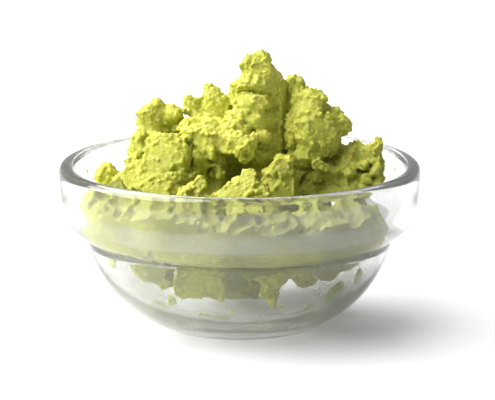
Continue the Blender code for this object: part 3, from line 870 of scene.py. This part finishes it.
@dataclass
class Paste:
    """The lumps of paste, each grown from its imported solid. Lengths are in millimetres."""

    material: bpy.types.Material
    painted_shade_material: bpy.types.Material
    bowl: Bowl
    trim: float = 0.10
    crumbs_on_faces: float = 0.08
    crumbs_on_edges: float = 2.2
    crumb_sizes: tuple[float, float] = (0.22, 0.65)
    sharp: tuple[float, float] = (18.0, 55.0)
    grain_steps: tuple[tuple[float, float], ...] = ((2.0, 0.13), (1.0, 0.17), (0.55, 0.17))
    swell: tuple[float, float] = (4.5, 0.25)
    knobs: tuple[float, float] = (1.7, 0.35)
    flatness: float = 0.9
    crowding: tuple[float, float] = (6.0, 2.2)
    smooth_size: float = 5.5
    calm: float = 0.35
    dome_reach: float = 0.85
    dome_mean: float = 0.72
    reach: float = 0.9
    overlap: float = 0.2
    glass_gap: float = 0.12
    hidden: tuple[str, ...] = ("chunk_back", "chunk_side_left", "chunk_side_right", "core")
    # Lumps pressed on the glass and low behind the front chunks: their grain is calmer and they take the
    # paste with painted shade.
    pressed: tuple[str, ...] = ("paste_core", "paste_chunk_back")

    def __post_init__(self) -> None:
        """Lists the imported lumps."""
        names = sorted(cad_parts)
        self.nodes = [name for name in names if name.startswith("paste") and "smear" not in name]

    def _neighbours(self, node: str) -> BVHTree:
        """A search tree of every packed lump but one."""
        verts, faces = [], []
        for name in self.nodes:
            if name != node:
                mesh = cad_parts[name].data
                faces += [[i + len(verts) for i in p.vertices] for p in mesh.polygons]
                verts += [v.co for v in mesh.vertices]
        return BVHTree.FromPolygons(verts, faces)

    def grain_of(self, node: str) -> Grain:
        """How finely the node's piece is worked."""
        return Grain.MEDIUM if "lump_back" in node or node.endswith(self.hidden) else Grain.FINE

    def build(self) -> list[bpy.types.Object]:
        """Builds every lump.

        Returns:
            The pieces.
        """
        return [self.lump(name, seed) for seed, name in enumerate(self.nodes)]

    def lump(self, node: str, seed: int) -> bpy.types.Object:
        """Makes one lump's fine piece.

        Args:
            node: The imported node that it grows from.
            seed: What its random crumbs start from.

        Returns:
            The piece.
        """
        rng = random.Random(seed)
        bm = bmesh.new()
        bm.from_mesh(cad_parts[node].data)
        bmesh.ops.remove_doubles(bm, verts=bm.verts, dist=0.001 * MM)
        bm.normal_update()
        for vert in bm.verts:
            vert.co -= vert.normal * self.trim * MM
        self._shape(bm, DETAILS.get(node, ()))
        bm.normal_update()
        spots = self._face_crumbs(bm, rng) + self._edge_crumbs(bm, rng)
        add_balls(bm, [self._crumb(place, normal, rng) for place, normal in spots])
        # The core and the back chunk take the paste with painted shade.
        material = self.painted_shade_material if node in self.pressed else self.material
        piece = new_piece(node.replace("paste_", "wasabi_"), bm, (material,))
        remesh = piece.modifiers.new("fuse", "REMESH")
        remesh.mode = "VOXEL"
        remesh.voxel_size = self.grain_of(node).value * MM
        soften = piece.modifiers.new("soften", "SMOOTH")
        soften.factor = 0.5
        soften.iterations = 1
        applied(piece)
        self._roughen(piece, node, seed)
        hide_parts(node)
        return piece

    def _shape(self, bm: bmesh.types.BMesh, details: Sequence[Nodule | Facet | Groove]) -> None:
        """Adds a lump's nodules and flattens its broken faces.

        Args:
            bm: The lump's mesh.
            details: The lump's details.
        """
        knob_size, knob_height = self.knobs
        for nodule in (d for d in details if isinstance(d, Nodule)):
            lean = Matrix.Rotation(math.radians(nodule.lean), 4, "Y")
            size = Matrix.Diagonal((*nodule.half, 1.0 / MM)) * MM
            matrix = Matrix.Translation(Vector(nodule.centre) * MM) @ lean @ size
            ball = bmesh.ops.create_icosphere(bm, subdivisions=3, radius=1.0, matrix=matrix)
            for vert in ball["verts"]:
                out = vert.co - matrix.translation
                vert.co += out * knob_height * noise.noise(vert.co / (knob_size * MM))
        for facet in (d for d in details if isinstance(d, Facet)):
            point, normal = Vector(facet.point) * MM, Vector(facet.normal).normalized()
            for vert in bm.verts:
                beyond = (vert.co - point).dot(normal)
                if beyond > 0.0:
                    vert.co -= normal * beyond * self.flatness

    def _face_crumbs(self, bm: bmesh.types.BMesh, rng: random.Random) -> list[tuple[Vector, Vector]]:
        """Places for crumbs on the faces, crowded in some patches and few in others.

        Args:
            bm: The lump's mesh.
            rng: Where the draws come from.

        Returns:
            Each crumb's place and the direction out of the lump there.
        """
        spots = []
        size, change = self.crowding
        for face in bm.faces:
            crowd = max(0.1, 1.0 + change * noise.noise(face.calc_center_median() / (size * MM)))
            wanted = face.calc_area() / MM ** 2 * self.crumbs_on_faces * crowd
            corners = [v.co for v in face.verts]
            for _ in range(int(wanted + rng.random())):
                a, b = sorted((rng.random(), rng.random()))
                place = corners[0] * a + corners[1] * (b - a) + corners[2] * (1.0 - b)
                spots.append((place, face.normal.copy()))
        return spots

    def _edge_crumbs(self, bm: bmesh.types.BMesh, rng: random.Random) -> list[tuple[Vector, Vector]]:
        """Places for crumbs along the broken edges, more where an edge is sharper.

        Args:
            bm: The lump's mesh.
            rng: Where the draws come from.

        Returns:
            Each crumb's place and the direction out of the lump there.
        """
        spots = []
        soft, hard = (math.radians(angle) for angle in self.sharp)
        for edge in bm.edges:
            sharpness = min(1.0, max(0.0, (edge.calc_face_angle_signed(0.0) - soft) / (hard - soft)))
            wanted = edge.calc_length() / MM * self.crumbs_on_edges * sharpness
            start, end = (v.co for v in edge.verts)
            out = (edge.link_faces[0].normal + edge.link_faces[1].normal).normalized()
            spots += [(start.lerp(end, rng.random()), out) for _ in range(int(wanted + rng.random()))]
        return spots

    def _crumb(self, place: Vector, normal: Vector, rng: random.Random) -> Matrix:
        """The size, turn and place of one crumb set into the skin of a lump.

        Args:
            place: Where on the skin it sits.
            normal: The direction out of the lump there.
            rng: Where the draws come from.

        Returns:
            The matrix that turns a unit ball into the crumb.
        """
        low, high = self.crumb_sizes
        size = (low + (high - low) * rng.random() ** 2.5) * MM
        squash = Matrix.Diagonal([*(size * rng.uniform(0.7, 1.2) for _ in range(3)), 1.0])
        angle = rng.random() * math.tau
        axis = Vector((rng.random(), rng.random(), 0.5)).normalized()
        turn = Matrix.Rotation(angle, 4, axis)
        return Matrix.Translation(place + normal * size * rng.uniform(-0.5, 0.25)) @ turn @ squash

    def _domes(self, place: Vector, size: float) -> float:
        """Rounded grains side by side: 1 on a grain's middle, 0 in the creases."""
        nearest = min(1.0, noise.voronoi(place / (size * MM))[0][0] / self.dome_reach)
        return math.sqrt(1.0 - nearest * nearest)

    def _roughen(self, piece: bpy.types.Object, node: str, seed: int) -> None:
        """Works the grain into the piece's skin, presses it to its neighbours and keeps it off the glass.

        Args:
            piece: The fused piece.
            node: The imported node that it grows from.
            seed: What moves its grain away from its neighbours' grain.
        """
        neighbours = self._neighbours(node)
        grooves = [d for d in DETAILS.get(node, ()) if isinstance(d, Groove)]
        calm = self.calm if node in self.pressed else 1.0
        shift = Vector((seed * 0.031, seed * -0.017, seed * 0.023))
        moved = []
        for vert in piece.data.vertices:
            place = vert.co + shift
            smeared = noise.noise(place / (self.smooth_size * MM))
            rough = 0.4 + 0.6 * min(1.0, max(0.0, 0.6 - 1.8 * smeared))
            rise = self.swell[1] * noise.noise(place / (self.swell[0] * MM))
            for size, height in self.grain_steps:
                rise += calm * rough * height * (self._domes(place, size) - self.dome_mean)
            hit, _, _, distance = neighbours.ray_cast(vert.co, vert.normal, self.reach * MM)
            if hit is not None:
                rise = max(rise, distance * 0.5 / MM + self.overlap)
            rise -= sum(groove.depth_at(vert.co) for groove in grooves)
            moved.append(self._off_glass(vert.co + vert.normal * rise * MM))
        for vert, place in zip(piece.data.vertices, moved):
            vert.co = place
        piece.data.update()

    def _off_glass(self, place: Vector) -> Vector:
        """The point, moved in where it would touch the glass."""
        floor = (self.bowl.floor_height + self.glass_gap) * MM
        height = max(place.z, floor)
        if height > self.bowl.wall_top[1] * MM:
            return Vector((place.x, place.y, min(height, CAD_BOX[1].z)))
        limit = (self.bowl.wall(height / MM) - self.glass_gap) * MM
        reach = math.hypot(place.x, place.y)
        share = limit / reach if reach > limit else 1.0
        return Vector((place.x * share, place.y * share, height))


@dataclass
class Smears:
    """Paste stuck to the glass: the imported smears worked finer, and specks. Lengths are in millimetres."""

    material: bpy.types.Material
    bowl: Bowl
    voxel: float = 0.22
    flat: float = 0.6
    ragged: tuple[tuple[float, float], ...] = ((1.0, 0.9), (0.45, 0.5))
    fuller: float = 0.1
    glass_gap: float = 0.12
    specks: int = 150
    speck_heights: tuple[float, float] = (4.5, 33.0)
    speck_sizes: tuple[float, float] = (0.12, 0.35)

    def build(self) -> list[bpy.types.Object]:
        """Builds the smears and the specks.

        Returns:
            The pieces.
        """
        nodes = [name for name in sorted(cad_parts) if "smear" in name]
        return [self.smear(name, seed) for seed, name in enumerate(nodes)] + [self.scatter()]

    def smear(self, node: str, seed: int) -> bpy.types.Object:
        """Makes one smear finer and more ragged.

        Args:
            node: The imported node.
            seed: What moves its grain.

        Returns:
            The piece.
        """
        bm = bmesh.new()
        bm.from_mesh(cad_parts[node].data)
        bmesh.ops.remove_doubles(bm, verts=bm.verts, dist=0.001 * MM)
        piece = new_piece(node.replace("paste_", "wasabi_"), bm, (self.material,))
        remesh = piece.modifiers.new("fuse", "REMESH")
        remesh.mode = "VOXEL"
        remesh.voxel_size = self.voxel * MM
        applied(piece)
        shift = Vector((seed * 0.011, 0.0, seed * 0.019))
        moved = []
        for vert in piece.data.vertices:
            place = vert.co + shift
            rise = self.fuller + sum(h * noise.noise(place / (size * MM)) for size, h in self.ragged)
            moved.append(self._flattened(vert.co + vert.normal * rise * MM))
        for vert, place in zip(piece.data.vertices, moved):
            vert.co = place
        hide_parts(node)
        return piece

    def _flattened(self, place: Vector) -> Vector:
        """The point, pressed out toward the glass."""
        reach = math.hypot(place.x, place.y)
        wall = (self.bowl.wall(place.z / MM) - self.glass_gap) * MM
        share = (wall - max(0.0, wall - reach) * self.flat) / reach
        return Vector((place.x * share, place.y * share, place.z))

    def scatter(self) -> bpy.types.Object:
        """Scatters specks of paste on the inside of the glass.

        Returns:
            The piece.
        """
        rng = random.Random(7)
        bm = bmesh.new()
        balls = []
        lowest, span = self.speck_heights
        smallest, spread = self.speck_sizes
        for _ in range(self.specks):
            height = lowest + span * rng.random() ** 1.4
            angle = rng.random() * math.tau
            size = smallest + spread * rng.random() ** 3
            radius = self.bowl.wall(height) - 0.1 - size * 0.3
            place = Vector((radius * math.cos(angle), radius * math.sin(angle), height)) * MM
            tall = size * (0.8 + 0.8 * rng.random())
            squash = Matrix.Diagonal((size * 0.45 * MM, size * MM, tall * MM, 1.0))
            balls.append(Matrix.Translation(place) @ Matrix.Rotation(angle, 4, "Z") @ squash)
        add_balls(bm, balls)
        return new_piece("wasabi_specks", bm, (self.material,))


@dataclass
class Studio:
    """The pale floor, the soft light and the camera. Lengths are in metres."""

    target: Vector = field(default_factory=lambda: Vector((0.0, 0.0, 0.020)))
    elevation: float = 13.0
    distance: float = 0.70
    lens: float = 203.2
    shift: Point = (0.0156, 0.0855)
    key_from: Vector = field(default_factory=lambda: Vector((-0.92, -0.08, 0.92)))
    key_spread: float = 70.0
    key_power: float = 7.4
    sky: float = 0.38
    dimmest: float = 0.05
    bright_sky: float = 0.66
    card_from: Vector = field(default_factory=lambda: Vector((0.75, -0.60, 0.25)))
    card: float = 1.2

    def build(self) -> None:
        """Builds the whole studio."""
        self.camera()
        self.floor()
        self.lamp("key", self.key_from, self.key_spread, self.key_power)
        self.world()
        bpy.context.scene.view_settings.view_transform = "Standard"

    def camera(self) -> None:
        """Sets the camera looking down a little at the bowl's front."""
        tilt = math.radians(self.elevation)
        place = self.target + Vector((0.0, -math.cos(tilt), math.sin(tilt))) * self.distance
        data = bpy.data.cameras.new("camera")
        data.lens = self.lens
        data.sensor_width = 36.0
        data.shift_x, data.shift_y = self.shift
        data.clip_start = 0.01
        camera = bpy.data.objects.new("camera", data)
        camera.location = place
        camera.rotation_euler = (self.target - place).to_track_quat("-Z", "Y").to_euler()
        bpy.context.scene.collection.objects.link(camera)
        bpy.context.scene.camera = camera

    def floor(self) -> None:
        """Lays the floor."""
        bm = bmesh.new()
        bmesh.ops.create_grid(bm, x_segments=1, y_segments=1, size=3.0)
        mesh = bpy.data.meshes.new("floor")
        bm.to_mesh(mesh)
        bm.free()
        mesh.materials.append(FloorFinish().build())
        floor = bpy.data.objects.new("floor", mesh)
        bpy.context.scene.collection.objects.link(floor)

    @staticmethod
    def lamp(name: str, source: Vector, spread: float, power: float) -> None:
        """Hangs one large soft lamp far off.

        Args:
            name: The lamp's name.
            source: The direction that its light comes from.
            spread: How wide it looks, in degrees.
            power: Its strength in watts a square metre.
        """
        data = bpy.data.lights.new(name, "SUN")
        data.angle = math.radians(spread)
        data.energy = power
        lamp = bpy.data.objects.new(name, data)
        lamp.rotation_euler = (-source).to_track_quat("-Z", "Y").to_euler()
        bpy.context.scene.collection.objects.link(lamp)

    def world(self) -> None:
        """A white backdrop for the camera, and a dimmer room, with a pale card at the right, for the rest."""
        world = bpy.data.worlds.new("room")
        bpy.context.scene.world = world
        s = Shader(world)
        card = s.toward(self.card_from).ramp(0.80, 0.95) * self.card
        up = s.toward(Vector((0.0, 0.0, 1.0)))
        white = {"Color": (1.0, 1.0, 1.0, 1.0)}
        overhead = up.ramp(0.15, 1.0) * self.sky + self.dimmest
        even = up.ramp(-0.2, 1.0) * 0.5 + 0.75
        dim = s.node("ShaderNodeBackground", {}, {**white, "Strength": overhead})
        bright = s.node("ShaderNodeBackground", {}, {**white, "Strength": even * self.bright_sky + card})
        backdrop = s.node("ShaderNodeBackground", {}, {**white, "Strength": 1.0})
        bounced = s.node("ShaderNodeLightPath", {}, {}, output="Diffuse Depth")
        mirrored = s.node("ShaderNodeLightPath", {}, {}, output="Is Singular Ray")
        through_glass = mirrored * (1 - bounced.clamped())
        seen = s.node("ShaderNodeLightPath", {}, {}, output="Is Camera Ray")
        room = s.node("ShaderNodeMixShader", {}, {0: through_glass, 1: dim, 2: bright})
        s.finish(s.node("ShaderNodeMixShader", {}, {0: seen, 1: room, 2: backdrop}))


def main() -> None:
    """Builds the studio and dresses the model, piece by piece."""
    logging.basicConfig(level=logging.INFO, format="%(name)s: %(message)s")
    Studio().build()
    bowl = Bowl(GlassFinish().build(), GlassFinish(name="filmed_glass", film=0.28).build())
    # The second paste, for the core and the back chunk, has painted shade on paste against the glass and low
    # down.
    paste = Paste(PasteFinish().build(), PasteFinish(name="painted_shade_paste", pressed=0.30).build(), bowl)
    smears = Smears(SmearFinish().build(), bowl)
    for piece in [bowl.build(), *paste.build(), *smears.build()]:
        log.info("%s: %d faces", piece.name, len(piece.data.polygons))


if __name__ == "__main__":
    main()
